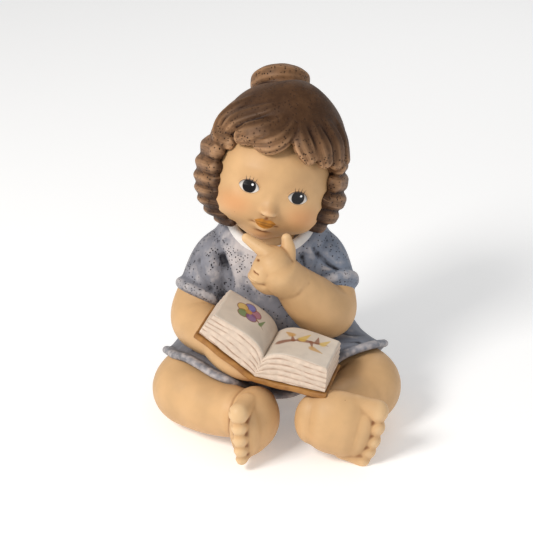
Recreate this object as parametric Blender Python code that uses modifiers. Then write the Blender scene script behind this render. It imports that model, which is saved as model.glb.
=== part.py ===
"""A seated toddler girl with an open book: a bisque porcelain figurine, cast and fired in one piece.

The figure faces -Y, her own left is at +X, and +Z is up. The origin is on the floor, in the middle of
her flat seat. The masses of clay are laid one over another, fused into one skin, and the underside is
cut flat.
"""

import math

import bmesh
import bpy
from mathutils import Euler, Matrix, Vector

# Driving sizes, in metres
FIGURE_HEIGHT = 0.185
HEAD_WIDTH = 0.068
HAIR_WIDTH = 0.0765
BUN_WIDTH = 0.038
LOCK_WIDTH = 0.012
LEG_WIDTH = 0.039
UPPER_ARM_WIDTH = 0.029
FINGER_WIDTH = 0.0070
BIG_TOE_WIDTH = 0.0110
SMALL_TOE_WIDTH = 0.0080
COLLAR_STAND = 0.0045
FOLD_WIDTH = 0.0060
HEM_ROLL = 0.0056
CUFF_ROLL = 0.0052
PAGE_WIDTH = 0.0387
BOOK_DEPTH = 0.0300
PAGE_BLOCK = 0.0125
PAGE_CROWN = 0.0040
GUTTER_DEPTH = 0.0070
COVER_THICKNESS = 0.0022
COVER_LIP = 0.0008

# How the figure sits and holds her head and book, in degrees
HEAD_LEAN = 15.0
HEAD_BACK = 12.0
BUN_AZIMUTH = 195.0
BUN_ELEVATION = 60.0
BOOK_YAW = -16.0
BOOK_PITCH = 3.0
BOOK_ROLL = 21.0
BOOK_HALF_RISE = 15.0

# The pose is given in sculptor's units: from the floor to the top of the bun is always 185 of them
UNIT = FIGURE_HEIGHT / 185
HEAD_AT = (0, -8, 131)
HAIR_CENTRE = (1.5, 8, 8)
BOOK_AT = (-9.7, -80, 43)

# How fine the fused skin is
CLAY_GRAIN = FIGURE_HEIGHT / 160
SMOOTHING_ROUNDS = 6
SKIN_TRIANGLES = 9000


def place(point):
    """A point given in sculptor's units, in metres."""
    return Vector(point) * UNIT


def width_in_units(width):
    """Half of a width in metres, as a radius in sculptor's units."""
    return width / 2 / UNIT


# Tools for laying clay: each adds one closed mass to the same mesh


def add_ball(clay, centre, radii, turn=(0, 0, 0), frame=None):
    """An ellipsoid; turn is in degrees about X, Y and Z, and frame places it on the head."""
    spin = Euler([math.radians(angle) for angle in turn])
    matrix = (frame or Matrix()) @ Matrix.LocRotScale(place(centre), spin, place(radii))
    ball = bmesh.new()
    bmesh.ops.create_uvsphere(ball, u_segments=28, v_segments=18, radius=1, matrix=matrix)
    mesh = bpy.data.meshes.new("ball")
    ball.to_mesh(mesh)
    ball.free()
    clay.from_mesh(mesh)
    bpy.data.meshes.remove(mesh)


def add_curve(clay, points, radii, frame=None, closed=False):
    """A round bar of changing thickness along a smooth line, as a curve with a bevel."""
    line = bpy.data.curves.new("bar", "CURVE")
    line.dimensions = "3D"
    line.bevel_depth = 1
    line.bevel_resolution = 4
    line.resolution_u = 6
    line.use_fill_caps = not closed
    spline = line.splines.new("BEZIER")
    spline.bezier_points.add(len(points) - 1)
    for knot, point, radius in zip(spline.bezier_points, points, radii):
        knot.co = place(point)
        knot.radius = radius * UNIT
        knot.handle_left_type = knot.handle_right_type = "AUTO"
    spline.use_cyclic_u = closed
    bar = bpy.data.objects.new("bar", line)
    bpy.context.scene.collection.objects.link(bar)
    bpy.context.view_layer.update()
    mesh = bpy.data.meshes.new_from_object(bar.evaluated_get(bpy.context.evaluated_depsgraph_get()))
    mesh.transform(frame or Matrix())
    clay.from_mesh(mesh)
    bpy.data.objects.remove(bar)
    bpy.data.curves.remove(line)
    bpy.data.meshes.remove(mesh)


def add_limb(clay, points, radii, frame=None):
    """A bar with rounded ends, such as an arm, a finger or a lock of hair."""
    add_curve(clay, points, radii, frame)
    for end in (0, -1):
        add_ball(clay, points[end], (radii[end],) * 3, frame=frame)


def add_loft(clay, rings):
    """A skin through rings that each have as many points, closed flat at both ends."""
    skin = [[clay.verts.new(place(point)) for point in ring] for ring in rings]
    count = len(skin[0])
    for lower, upper in zip(skin, skin[1:]):
        for i in range(count):
            j = (i + 1) % count
            clay.faces.new((lower[i], lower[j], upper[j], upper[i]))
    clay.faces.new(list(reversed(skin[0])))
    clay.faces.new(skin[-1])


def smooth_closed(points, steps):
    """A closed Catmull-Rom curve through the points, with so many steps between each two."""
    count = len(points)
    out = []
    for i in range(count):
        a, b, c, d = (Vector(points[(i + k) % count]) for k in (-1, 0, 1, 2))
        for step in range(steps):
            t = step / steps
            out.append(
                0.5 * (2 * b + (c - a) * t + (2 * a - 5 * b + 4 * c - d) * t**2 + (3 * b - a - 3 * c + d) * t**3)
            )
    return out


# The dress: bodice, skirt and rolled hem, sleeves and rolled cuffs, collar

# The hem's line, from the front round her right side: it dips between her thighs and lies over them
HEM_LINE = [
    (10, -49, 13.5),
    (-10, -51, 16.5),
    (-24, -52, 25),
    (-38, -51, 32),
    (-50, -45, 37),
    (-59, -33, 36),
    (-61, -16, 27),
    (-57, 2, 15),
    (-48, 22, 7),
    (-28, 38, 4),
    (0, 43, 3),
    (28, 38, 4),
    (49, 22, 7),
    (59, 2, 17),
    (64, -15, 30),
    (63, -30, 38),
    (55, -42, 41),
    (43, -47, 40),
    (28, -48, 32),
]
# A power over 1 makes the skirt flare out towards its hem
SKIRT_FLARE = 1.4
# Where the folds hang, as shares of the way round the hem, and their thickness from the hem upwards
FOLDS_AT = (0.4, 0.48, 0.55, 0.63, 0.71, 0.79)
FOLD_SHARES = (0.8, 1.0, 0.9, 0.7, 0.4)
# Height, half width, half depth to the front and to the back, and how far forward the ring's centre is
BODICE_RINGS = [
    (106, 23, 20, 19, 5),
    (100, 29, 25, 23, 4),
    (91, 34, 29, 28, 2),
    (78, 36, 33, 32, 1),
    (64, 37.5, 37, 35, 0),
    (53, 39, 39, 37, 0),
]
# A sleeve's line from the shoulder to the cuff, her right one and her left one
SLEEVES = {
    "right": [(-17, -3, 87), (-29, -6, 79), (-37, -13, 63)],
    "left": [(16, -3, 87), (26, -8, 79), (31, -20, 67)],
}
SLEEVE_RADII = (15, 16, 15)


def bodice_point(direction, ring):
    height, half_width, front, back, forward = ring
    depth = front if direction.y < 0 else back
    return Vector((direction.x * half_width, direction.y * depth - forward, height))


def add_dress(clay):
    hem = smooth_closed(HEM_LINE, 4)
    angles = [math.atan2(point.y + 6, point.x * 0.8) for point in hem]
    directions = [Vector((math.cos(angle), math.sin(angle), 0)) for angle in angles]
    waist = [bodice_point(direction, BODICE_RINGS[-1]) for direction in directions]
    rings = [hem]
    for share in (0.25, 0.5, 0.75):
        flare = Vector((share, share, share**SKIRT_FLARE))
        rings.append([low + (high - low) * flare for low, high in zip(hem, waist)])
    for ring in reversed(BODICE_RINGS):
        rings.append([bodice_point(direction, ring) for direction in directions])
    add_loft(clay, [list(reversed(ring)) for ring in rings])
    add_curve(clay, hem, [width_in_units(HEM_ROLL)] * len(hem), closed=True)
    add_folds(clay, rings)
    for line in SLEEVES.values():
        add_sleeve(clay, line)
    add_collar(clay)


def add_folds(clay, rings):
    """Soft folds down the skirt, each a bar that lies half sunk along one line of the dress's skin."""
    fold = width_in_units(FOLD_WIDTH)
    count = len(rings[0])
    for share in FOLDS_AT:
        line = [ring[round(share * count)] for ring in rings[: len(FOLD_SHARES)]]
        add_limb(clay, line, [fold * swell for swell in FOLD_SHARES])


def add_sleeve(clay, line):
    """A short puffed sleeve: a bar, and a roll of cloth round its lower end."""
    add_limb(clay, line, SLEEVE_RADII)
    end, before = Vector(line[-1]), Vector(line[-2])
    along = (end - before).normalized()
    across = along.cross(Vector((0, 1, 0))).normalized()
    other = along.cross(across)
    roll_at = SLEEVE_RADII[-1] - 0.5
    centre = end + along * 3.0
    turns = [math.tau * step / 12 for step in range(12)]
    ring = [centre + (across * math.cos(turn) + other * math.sin(turn)) * roll_at for turn in turns]
    add_curve(clay, ring, [width_in_units(CUFF_ROLL)] * len(ring), closed=True)


def add_collar(clay):
    """A narrow standing band round the neck, leaning forward with it."""
    stand = COLLAR_STAND / UNIT
    turns = [math.tau * step / 40 for step in range(40)]
    rings = []
    for rise, radius in ((-4, 27), (0, 25.5), (stand, 23)):
        rings.append(
            [
                (radius * math.cos(turn), radius * 0.88 * math.sin(turn) - 6, 102.5 + rise + 4.5 * math.sin(turn))
                for turn in turns
            ]
        )
    add_loft(clay, rings)


# Legs and feet

LEG_LINES = {
    "right": [(-17, 2, 21), (-34, -24, 20), (-47, -46, 19), (-37, -60, 19), (-27, -70, 20.5), (-20, -78, 23)],
    "left": [(17, 2, 21), (34, -24, 20), (52, -46, 22), (45, -61, 20), (37, -71, 21), (30, -80, 23)],
}
LEG_SHARES = (1.08, 1.06, 1.0, 0.9, 0.76, 0.64)


def add_legs(clay):
    radius = width_in_units(LEG_WIDTH)
    for line in LEG_LINES.values():
        add_limb(clay, line, [radius * share for share in LEG_SHARES])
    add_ball(clay, (0, 12, 14), (40, 30, 22))


# A foot's heel, its long axis towards the toes, and its upward axis towards the big toe, for each foot
FEET = {
    "right": ((-7, -74, 21), (-0.32, -0.95, -0.02), (-0.02, 0.06, 1.0)),
    "left": ((24.5, -87, 25), (0.93, -0.22, -0.26), (0.3, 0.1, 0.95)),
}
FOOT_LENGTH = 31
# Share of the foot's length, half height towards the big toe, half thickness, and shift towards the big toe
FOOT_RINGS = [
    (-0.34, 3, 3, -1),
    (-0.28, 9, 8, -1),
    (-0.14, 13.5, 11.5, -1),
    (0.08, 16.5, 13.5, -0.5),
    (0.35, 18, 13.5, 0),
    (0.6, 18.5, 12, 0.5),
    (0.8, 18, 9.5, 1),
    (0.94, 15.5, 6.5, 1.5),
    (1.0, 11, 3, 1.5),
]
# Where each toe is across the foot, from the big toe down, how far forward, and its share of a small toe
TOES = [(14.5, 0.96, 0), (5, 0.97, 1.1), (-2.5, 0.98, 1.0), (-9, 0.96, 0.92), (-14.5, 0.92, 0.84)]


def foot_frame(heel, along, upward):
    """A frame whose X runs to the toes and Z to the big toe; Y then points to the sole or away from it."""
    x = Vector(along).normalized()
    y = Vector(upward).cross(x).normalized()
    z = x.cross(y)
    frame = Matrix((x, y, z)).transposed().to_4x4()
    frame.translation = place(heel)
    return frame


def add_feet(clay):
    turns = [math.tau * step / 24 for step in range(24)]
    for heel, along, upward in FEET.values():
        frame = foot_frame(heel, along, upward)
        rings = []
        for share, high, thick, shift in FOOT_RINGS:
            ring = [Vector((share * FOOT_LENGTH, thick * math.cos(t), shift + high * math.sin(t))) for t in turns]
            rings.append([(frame @ place(point)) / UNIT for point in ring])
        add_loft(clay, rings)
        for across, forward, size in TOES:
            radius = width_in_units(SMALL_TOE_WIDTH) * size or width_in_units(BIG_TOE_WIDTH)
            reach = radius * 1.5
            add_ball(clay, (forward * FOOT_LENGTH, 0, across), (reach, radius * 1.05, radius), frame=frame)


# Arms and hands

RIGHT_ARM = [(-35, -8, 68), (-41.5, -16, 52), (-41, -28, 40), (-34, -42, 37), (-25, -56, 38)]
RIGHT_ARM_SHARES = (1.0, 1.02, 1.0, 0.88, 0.66)
LEFT_ARM = [(30, -16, 72), (33, -26, 61), (29, -34, 62), (20, -42, 73), (11, -48, 85)]
LEFT_ARM_SHARES = (0.95, 1.0, 1.05, 0.98, 0.76)
# The right hand lies under the book. Its places are shares of a page's width towards her left, shares of the
# book's depth towards her, and finger widths below the cover, so that the hand and the cover always meet
RIGHT_PALM = (-0.27, 0.42, 0.6)
RIGHT_PALM_RADII = (13.5, 10, 6.5)
# Each finger of a hand: its line, and its share of a finger's width at the root and at the tip
RIGHT_FINGERS = [
    ([(-0.38, 0.5, 0.9), (-0.16, 0.24, 0.4), (0.1, 0.18, 0.3)], 1.15, 0.95),
    ([(-0.32, 0.55, 0.9), (-0.06, 0.43, 0.4), (0.2, 0.42, 0.3)], 1.15, 0.95),
    ([(-0.46, 0.46, 0.8), (-0.38, 0.2, 0.42), (-0.24, 0.06, 0.3)], 1.1, 0.9),
]
LEFT_FINGERS = [
    ([(2, -55, 101), (-6, -51, 106), (-13.5, -45, 110)], 1.2, 0.9),
    ([(9, -51, 98), (9, -49, 105), (7.5, -46, 110.5)], 1.25, 0.95),
    ([(0, -55, 101), (-9, -54, 100), (-10, -48, 98)], 1.15, 1.0),
    ([(0, -55, 95), (-10, -54, 93.5), (-10, -48, 92)], 1.15, 1.0),
    ([(1, -54, 90), (-8, -53, 88), (-8, -47, 87)], 1.05, 0.9),
]


def book_frame():
    """The book's own frame: X along the pages towards her left, Y towards her, and Z up out of the spine."""
    pitch = Matrix.Rotation(math.radians(BOOK_PITCH), 4, "X")
    roll = Matrix.Rotation(math.radians(BOOK_ROLL), 4, "Y")
    yaw = Matrix.Rotation(math.radians(BOOK_YAW), 4, "Z")
    return Matrix.Translation(place(BOOK_AT)) @ yaw @ pitch @ roll


def under_cover(knot):
    """A place under the book's cover, in sculptor's units."""
    across, deep, below = knot
    x = across * PAGE_WIDTH
    rise = math.radians(BOOK_HALF_RISE)
    z = abs(x) * math.tan(rise) - below * FINGER_WIDTH / math.cos(rise)
    return (book_frame() @ Vector((x, deep * BOOK_DEPTH, z))) / UNIT


def add_palm(clay):
    """The palm's pad, pressed flat against the cover's left wing and sunk into it."""
    across, deep, below = RIGHT_PALM
    wing = Matrix.Rotation(math.radians(BOOK_HALF_RISE), 4, "Y")
    centre = (across * PAGE_WIDTH / UNIT, deep * BOOK_DEPTH / UNIT, -below * FINGER_WIDTH / UNIT)
    add_ball(clay, centre, RIGHT_PALM_RADII, frame=book_frame() @ wing)


def add_arms(clay):
    arm = width_in_units(UPPER_ARM_WIDTH)
    finger = width_in_units(FINGER_WIDTH)
    add_limb(clay, RIGHT_ARM, [arm * share for share in RIGHT_ARM_SHARES])
    add_limb(clay, LEFT_ARM, [arm * share for share in LEFT_ARM_SHARES])
    add_ball(clay, under_cover((-0.36, 0.5, 0.95)), (9.5, 9, 7.5), (0, -10, 35))
    add_palm(clay)
    add_ball(clay, (1, -52, 94), (12, 8, 12.5), (0, -20, 0))
    right = [([under_cover(knot) for knot in line], root, tip) for line, root, tip in RIGHT_FINGERS]
    for line, root, tip in right + LEFT_FINGERS:
        add_limb(clay, line, [finger * root, finger * (root + tip) / 2, finger * tip])


# Head and hair, in the head's own frame: its face looks along -Y and its crown is at +Z


def head_frame():
    turn = Matrix.Rotation(math.radians(HEAD_LEAN), 4, "Y") @ Matrix.Rotation(math.radians(-HEAD_BACK), 4, "X")
    return Matrix.Translation(place(HEAD_AT)) @ turn


def on_hair(azimuth, elevation, lift=0):
    """A point of the hair's dome: azimuth 0 is over the face and 90 over her left ear, both in degrees."""
    a, e = math.radians(azimuth), math.radians(elevation)
    direction = Vector((math.sin(a) * math.cos(e), -math.cos(a) * math.cos(e), math.sin(e)))
    half = width_in_units(HAIR_WIDTH)
    dome = Vector((direction.x * half, direction.y * (half + 4), direction.z * (half + 5)))
    return Vector(HAIR_CENTRE) + dome + direction * lift


def add_head(clay):
    frame = head_frame()
    half = width_in_units(HEAD_WIDTH)
    add_ball(clay, (0, 0, 0), (half, half, half), frame=frame)
    for side in (-1, 1):
        add_ball(clay, (side * 14, -17, -14), (15, 14, 13), frame=frame)
        add_ball(clay, (side * 2.6, -35.4, -11.8), (1.8, 1.8, 1.5), frame=frame)
    add_ball(clay, (0, -22, -24), (11, 10, 9), frame=frame)
    add_limb(clay, [(0, -32.5, -4), (0, -34.6, -10)], (2.4, 3.2), frame=frame)
    add_limb(clay, [(-4.2, -30.6, -20), (0, -32.4, -19.4), (4.2, -30.6, -20)], (1.0, 1.7, 1.0), frame=frame)
    add_limb(clay, [(-3.2, -30.2, -21.5), (0, -31.6, -22.6), (3.2, -30.2, -21.5)], (1.0, 1.8, 1.0), frame=frame)
    add_limb(clay, [(0, 2, 88), (0, -4, 108)], (20, 18))


# Locks on the forehead: azimuth, elevation and lift along each one, from the parting down
FOREHEAD_LOCKS = [
    [(2, 38, -2), (0, 27, 1), (-5, 18, 2), (-16, 13, 1)],
    [(-4, 38, -2), (-13, 29, 1), (-22, 20, 2), (-33, 12, 1)],
    [(-12, 38, -2), (-25, 31, 1), (-35, 22, 2), (-42, 11, 1)],
    [(-24, 40, -2), (-40, 32, 1), (-51, 20, 2), (-57, 7, 1)],
    [(6, 38, -2), (8, 27, 1), (13, 18, 2), (21, 9, 1)],
    [(9, 39, -2), (17, 29, 1), (26, 19, 2), (35, 8, 1)],
    [(15, 41, -2), (26, 32, 1), (37, 22, 2), (47, 9, 1)],
    [(24, 44, -2), (37, 38, 1), (48, 28, 2), (57, 14, 1)],
]


def add_hair(clay):
    frame = head_frame()
    half = width_in_units(HAIR_WIDTH)
    lock = width_in_units(LOCK_WIDTH)
    add_hair_dome(clay, frame, half)
    for line in FOREHEAD_LOCKS:
        points = [on_hair(azimuth, elevation, lift - 2) for azimuth, elevation, lift in line]
        add_limb(clay, points, [lock * share for share in (0.45, 0.9, 1.1, 0.8)], frame=frame)
    for side in (-1, 1):
        add_side_curls(clay, frame, side, lock)
    add_back_strands(clay, frame, lock)
    add_bun(clay, frame)


def add_hair_dome(clay, frame, half):
    """The mass of the hair, with a second one over its front where the crown swells above the forehead."""
    x, y, z = HAIR_CENTRE
    add_ball(clay, HAIR_CENTRE, (half - 1, half + 3, half + 4), frame=frame)
    add_ball(clay, (x, y - 2, z + 8), (half - 1.5, half + 4, half - 4), frame=frame)


def add_side_curls(clay, frame, side, lock):
    """Five fat rolls, one over another, from beside the face round to the back of the head."""
    levels = ((14, 33.5, 1.15), (4, 35.5, 1.15), (-6, 34.5, 1.15), (-14.5, 30, 1.1), (-22, 22, 0.95))
    for height, reach, size in levels:
        points = [
            (side * (reach - 7), -17, height - 1),
            (side * reach, -7, height + 1),
            (side * (reach + 0.5), 8, height),
            (side * (reach - 9), 24, height - 2),
        ]
        add_limb(clay, points, [lock * size * share for share in (0.85, 1.15, 1.15, 0.9)], frame=frame)


def add_back_strands(clay, frame, lock):
    """Plain combed strands at the back, drawn up from the nape to the bun."""
    for azimuth in range(110, 251, 20):
        knots = [(azimuth, elevation) for elevation in (-32, -8, 18, 40)]
        points = [on_hair(*knot, -3) for knot in knots]
        add_limb(clay, points, [lock * share for share in (1.0, 1.1, 1.0, 0.6)], frame=frame)


def add_bun(clay, frame):
    """The bun: a coil of hair wound round once and a half, over a low core."""
    half = width_in_units(BUN_WIDTH)
    up = (on_hair(BUN_AZIMUTH, BUN_ELEVATION) - Vector(HAIR_CENTRE)).normalized()
    back = up.cross(Vector((1, 0, 0))).normalized()
    side = back.cross(up)
    centre = on_hair(BUN_AZIMUTH, BUN_ELEVATION)
    core = Matrix((side, back, up)).transposed().to_4x4()
    core.translation = place(centre)
    add_ball(clay, (0, 0, 0), (half * 0.92, half * 0.92, half * 0.7), frame=frame @ core)
    coil = []
    radii = []
    for step in range(19):
        turn = math.tau * step / 12
        shrink = 1 - 0.42 * step / 18
        coil.append((math.cos(turn) * half * 0.62 * shrink, math.sin(turn) * half * 0.62 * shrink, 3 + step * 0.3))
        radii.append(half * 0.38 * shrink)
    add_limb(clay, coil, radii, frame=frame @ core)


# The open book


def book_outline():
    """The book's end view: the cover below, the fore-edges, and the crowned pages meeting in the gutter."""
    cover, lip = COVER_THICKNESS, COVER_LIP
    rise = math.radians(BOOK_HALF_RISE)
    fore = cover + PAGE_BLOCK
    half = [(0, 0), (PAGE_WIDTH + lip, 0), (PAGE_WIDTH + lip, cover), (PAGE_WIDTH, cover), (PAGE_WIDTH, fore)]
    steps = 10
    for step in range(1, steps + 1):
        share = 1 - step / steps
        crown = PAGE_CROWN * math.sin(math.pi * share**0.6)
        gutter = GUTTER_DEPTH * (1 - share) ** 6
        half.append((PAGE_WIDTH * share, fore + crown - gutter))
    right = [(x * math.cos(rise) - z * math.sin(rise), x * math.sin(rise) + z * math.cos(rise)) for x, z in half[1:]]
    right = [(x, z) for x, z in right if x > 0]
    left = [(-x, z) for x, z in reversed(right)]
    return [(0, 0)] + right + [(0, fore - GUTTER_DEPTH)] + left


def make_book():
    """The open book as one extruded outline, laid in her right hand."""
    line = bpy.data.curves.new("book", "CURVE")
    line.dimensions = "2D"
    line.fill_mode = "BOTH"
    line.extrude = BOOK_DEPTH / 2
    spline = line.splines.new("POLY")
    outline = book_outline()
    spline.points.add(len(outline) - 1)
    for knot, (x, z) in zip(spline.points, outline):
        knot.co = (x, z, 0, 1)
    spline.use_cyclic_u = True
    flat = bpy.data.objects.new("book_outline", line)
    bpy.context.scene.collection.objects.link(flat)
    bpy.context.view_layer.update()
    mesh = bpy.data.meshes.new_from_object(flat.evaluated_get(bpy.context.evaluated_depsgraph_get()))
    bpy.data.objects.remove(flat)
    bpy.data.curves.remove(line)
    upright = Matrix.Translation((0, BOOK_DEPTH / 2, 0)) @ Matrix.Rotation(math.radians(90), 4, "X")
    mesh.transform(upright)
    welded = bmesh.new()
    welded.from_mesh(mesh)
    bmesh.ops.remove_doubles(welded, verts=welded.verts, dist=0.00001)
    bmesh.ops.recalc_face_normals(welded, faces=welded.faces)
    welded.to_mesh(mesh)
    welded.free()
    book = bpy.data.objects.new("book", mesh)
    book.matrix_world = book_frame()
    return book


# Putting it together


def helper(obj, collection):
    """Keeps a cutter or a shape to be joined out of the finished model."""
    collection.objects.link(obj)
    obj.hide_render = True
    obj.display_type = "WIRE"
    return obj


def make_floor_block():
    """All that lies below the floor, to be cut away so that the figure sits flat."""
    mesh = bpy.data.meshes.new("floor_block")
    block = bmesh.new()
    bmesh.ops.create_cube(block, size=1)
    block.to_mesh(mesh)
    block.free()
    floor = bpy.data.objects.new("floor_block", mesh)
    floor.scale = (FIGURE_HEIGHT * 2, FIGURE_HEIGHT * 2, FIGURE_HEIGHT)
    floor.location = (0, 0, -FIGURE_HEIGHT / 2)
    return floor


def bisque():
    """Bare fired porcelain with a soft, matt, skin-coloured wash."""
    material = bpy.data.materials.new("bisque_porcelain")
    material.use_nodes = True
    shader = material.node_tree.nodes["Principled BSDF"]
    shader.inputs["Base Color"].default_value = (0.76, 0.53, 0.33, 1)
    shader.inputs["Roughness"].default_value = 0.55
    shader.inputs["Metallic"].default_value = 0.0
    return material


def make_figure(collection, helpers):
    clay = bmesh.new()
    add_dress(clay)
    add_legs(clay)
    add_feet(clay)
    add_arms(clay)
    add_head(clay)
    add_hair(clay)
    bmesh.ops.recalc_face_normals(clay, faces=clay.faces)
    mesh = bpy.data.meshes.new("reading_girl")
    clay.to_mesh(mesh)
    clay.free()
    figure = bpy.data.objects.new("reading_girl", mesh)
    collection.objects.link(figure)
    mesh.materials.append(bisque())

    fuse = figure.modifiers.new("fuse", "REMESH")
    fuse.mode = "VOXEL"
    fuse.voxel_size = CLAY_GRAIN
    soften = figure.modifiers.new("soften", "SMOOTH")
    soften.factor = 0.5
    soften.iterations = SMOOTHING_ROUNDS
    bpy.context.view_layer.update()
    fused = figure.evaluated_get(bpy.context.evaluated_depsgraph_get())
    triangles = sum(len(face.vertices) - 2 for face in fused.data.polygons)
    thin = figure.modifiers.new("thin", "DECIMATE")
    thin.ratio = SKIN_TRIANGLES / triangles

    join = figure.modifiers.new("book", "BOOLEAN")
    join.operation = "UNION"
    join.object = helper(make_book(), helpers)
    flatten = figure.modifiers.new("floor", "BOOLEAN")
    flatten.operation = "DIFFERENCE"
    flatten.object = helper(make_floor_block(), helpers)
    return figure


def main():
    for obj in list(bpy.data.objects):
        bpy.data.objects.remove(obj)
    collection = bpy.data.collections.new("reading_girl_figurine")
    helpers = bpy.data.collections.new("helpers")
    for each in (collection, helpers):
        bpy.context.scene.collection.children.link(each)
    make_figure(collection, helpers)


main()
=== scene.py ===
import math

import bmesh
import bpy
import numpy as np
from mathutils import Matrix, Vector


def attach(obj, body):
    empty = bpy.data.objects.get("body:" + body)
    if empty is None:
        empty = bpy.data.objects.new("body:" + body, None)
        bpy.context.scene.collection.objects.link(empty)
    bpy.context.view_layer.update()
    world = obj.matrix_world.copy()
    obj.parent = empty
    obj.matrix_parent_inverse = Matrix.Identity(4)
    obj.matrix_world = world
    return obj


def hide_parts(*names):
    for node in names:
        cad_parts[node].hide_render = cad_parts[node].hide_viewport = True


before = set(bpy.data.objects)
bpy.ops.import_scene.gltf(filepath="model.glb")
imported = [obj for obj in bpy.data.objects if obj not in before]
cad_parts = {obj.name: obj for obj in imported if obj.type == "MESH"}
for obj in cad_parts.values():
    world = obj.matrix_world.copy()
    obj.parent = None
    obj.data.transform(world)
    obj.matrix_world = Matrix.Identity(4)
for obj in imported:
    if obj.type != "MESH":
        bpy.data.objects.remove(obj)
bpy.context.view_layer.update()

# A figurine of a seated toddler girl who reads in an open book. The whole of it is one bisque casting that
# was coloured afterwards. Each section below makes one region of its skin. Lengths are in millimetres, and MM
# makes them metres. She faces -Y, her own left is at +X, and the floor is at z = 0.
MM = 0.001


# Legs, feet and seat
# Bare bisque in a warm skin tone, cast in one with the rest. The wash was wiped off again, so it stays in the
# creases between the toes, which also get painted shade, and the ridges get a painted highlight. The seat is
# ground flat, and the figure stands on it.


def unit(vectors):
    """Each vector divided by its length."""
    return vectors / np.linalg.norm(vectors, axis=-1, keepdims=True)


def along(knots, count):
    """A smooth line through the knots: a Catmull-Rom cubic of four neighbours, read at even steps."""
    knots = np.asarray(knots, float)
    t = np.linspace(0, len(knots) - 1, count)
    i = np.minimum(t.astype(int), len(knots) - 2)
    f = (t - i)[:, None]
    a, b, c, d = (knots[np.clip(i + k, 0, len(knots) - 1)] for k in (-1, 0, 1, 2))
    return 0.5 * (2 * b + (c - a) * f + (2 * a - 5 * b + 4 * c - d) * f**2 + (3 * b - a - 3 * c + d) * f**3)


def closed(grid):
    """Points and quads of a grid whose columns wrap round; a fan to a middle point closes either end."""
    rows, sides = grid.shape[:2]
    cell = np.arange(rows * sides).reshape(rows, sides)
    beside = np.roll(cell, -1, axis=1)
    walls = np.stack([cell[:-1], beside[:-1], beside[1:], cell[1:]], -1).reshape(-1, 4)
    poles = rows * sides + np.arange(2)[:, None]
    even, odd, next_even = cell[:, ::2], cell[:, 1::2], np.roll(cell[:, ::2], -1, axis=1)
    first = np.stack([np.repeat(poles[0], sides // 2), next_even[0], odd[0], even[0]], -1)
    last = np.stack([np.repeat(poles[1], sides // 2), even[-1], odd[-1], next_even[-1]], -1)
    points = np.concatenate([grid.reshape(-1, 3), grid[[0, -1]].mean(1)])
    return points, np.concatenate([walls, first, last])


def tube(knots, steps=44, sides=28, up=(0, 0, 1), around=None, ridges=0, depth=0.0):
    """A limb or a lock: an ellipse carried along a smooth line, with a round end at both ends.

    Each knot is x, y, z, half width, half thickness. Row u, column v lies at centre(u) + side(u) * width(u)
    * cos v + over(u) * thickness(u) * sin v, both arms times 1 + depth * cos(ridges * v). over points along
    up, or away from the point around.
    """
    line = along(knots, steps)
    cap = np.linspace(0.12, math.pi / 2, 7)[:-1]
    row = np.concatenate([np.zeros(6, int), np.arange(steps), np.full(6, steps - 1)])
    shrink = np.concatenate([np.sin(cap), np.ones(steps), np.sin(cap)[::-1]])
    stretch = np.concatenate([-np.cos(cap), np.zeros(steps), np.cos(cap)[::-1]]) * line[row, 3:5].min(1)
    way = unit(np.gradient(line[:, :3], axis=0))
    over = line[:, :3] - around if around is not None else np.broadcast_to(up, way.shape)
    over = unit(over - way * (over * way).sum(1, keepdims=True))
    side = np.cross(over, way)
    turn = np.linspace(0, 2 * math.pi, sides, endpoint=False)
    swell = shrink[:, None] * (1 + depth * np.cos(ridges * turn))
    centre = line[row, :3] + way[row] * stretch[:, None]
    wide = (line[row, 3, None] * np.cos(turn) * swell)[..., None] * side[row, None]
    thick = (line[row, 4, None] * np.sin(turn) * swell)[..., None] * over[row, None]
    return closed(centre[:, None] + wide + thick)


def blob(centre, radii, turn=np.eye(3), rows=40, sides=56):
    """An ellipsoid: radii times (sin a cos b, sin a sin b, cos a), turned and moved to its centre."""
    a = np.linspace(0.04, math.pi - 0.04, rows)[::-1, None]
    b = np.linspace(0, 2 * math.pi, sides, endpoint=False)
    ball = np.stack([np.sin(a) * np.cos(b), np.sin(a) * np.sin(b), np.cos(a) + 0 * b], -1)
    return closed((ball * radii) @ np.asarray(turn).T + centre)


def read(piece, what):
    """The piece's points in mm, its normals or its edges, as one array."""
    mesh = piece.data
    source, field, width, kind = {
        "points": (mesh.vertices, "co", 3, np.float32),
        "normals": (mesh.vertex_normals, "vector", 3, np.float32),
        "edges": (mesh.edges, "vertices", 2, np.int32),
    }[what]
    values = np.empty(len(source) * width, kind)
    source.foreach_get(field, values)
    values = values.reshape(-1, width)
    return values / MM if what == "points" else values


def write(piece, points):
    """Puts points in mm back into the piece."""
    piece.data.vertices.foreach_set("co", (points * MM).astype(np.float32).ravel())
    piece.data.update()


def soften(points, edges, rounds):
    """Each point goes halfway to the mean of its neighbours, round after round."""
    count = len(points)
    ends = np.concatenate([edges, edges[:, ::-1]])
    degree = np.bincount(ends[:, 0], minlength=count)[:, None]
    for _ in range(rounds):
        total = [np.bincount(ends[:, 0], points[ends[:, 1], axis], count) for axis in range(3)]
        points = points + 0.5 * (np.stack(total, 1) / degree - points)
    return points


def mesh_piece(name, masses):
    """An object of all the masses' points and quads, at the origin."""
    starts = np.cumsum([0] + [len(points) for points, _ in masses[:-1]])
    points = np.concatenate([points for points, _ in masses]) * MM
    quads = np.concatenate([quads + start for (_, quads), start in zip(masses, starts)])
    mesh = bpy.data.meshes.new(name)
    mesh.from_pydata(points, [], quads)
    piece = bpy.data.objects.new(name, mesh)
    bpy.context.scene.collection.objects.link(piece)
    return piece


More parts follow.
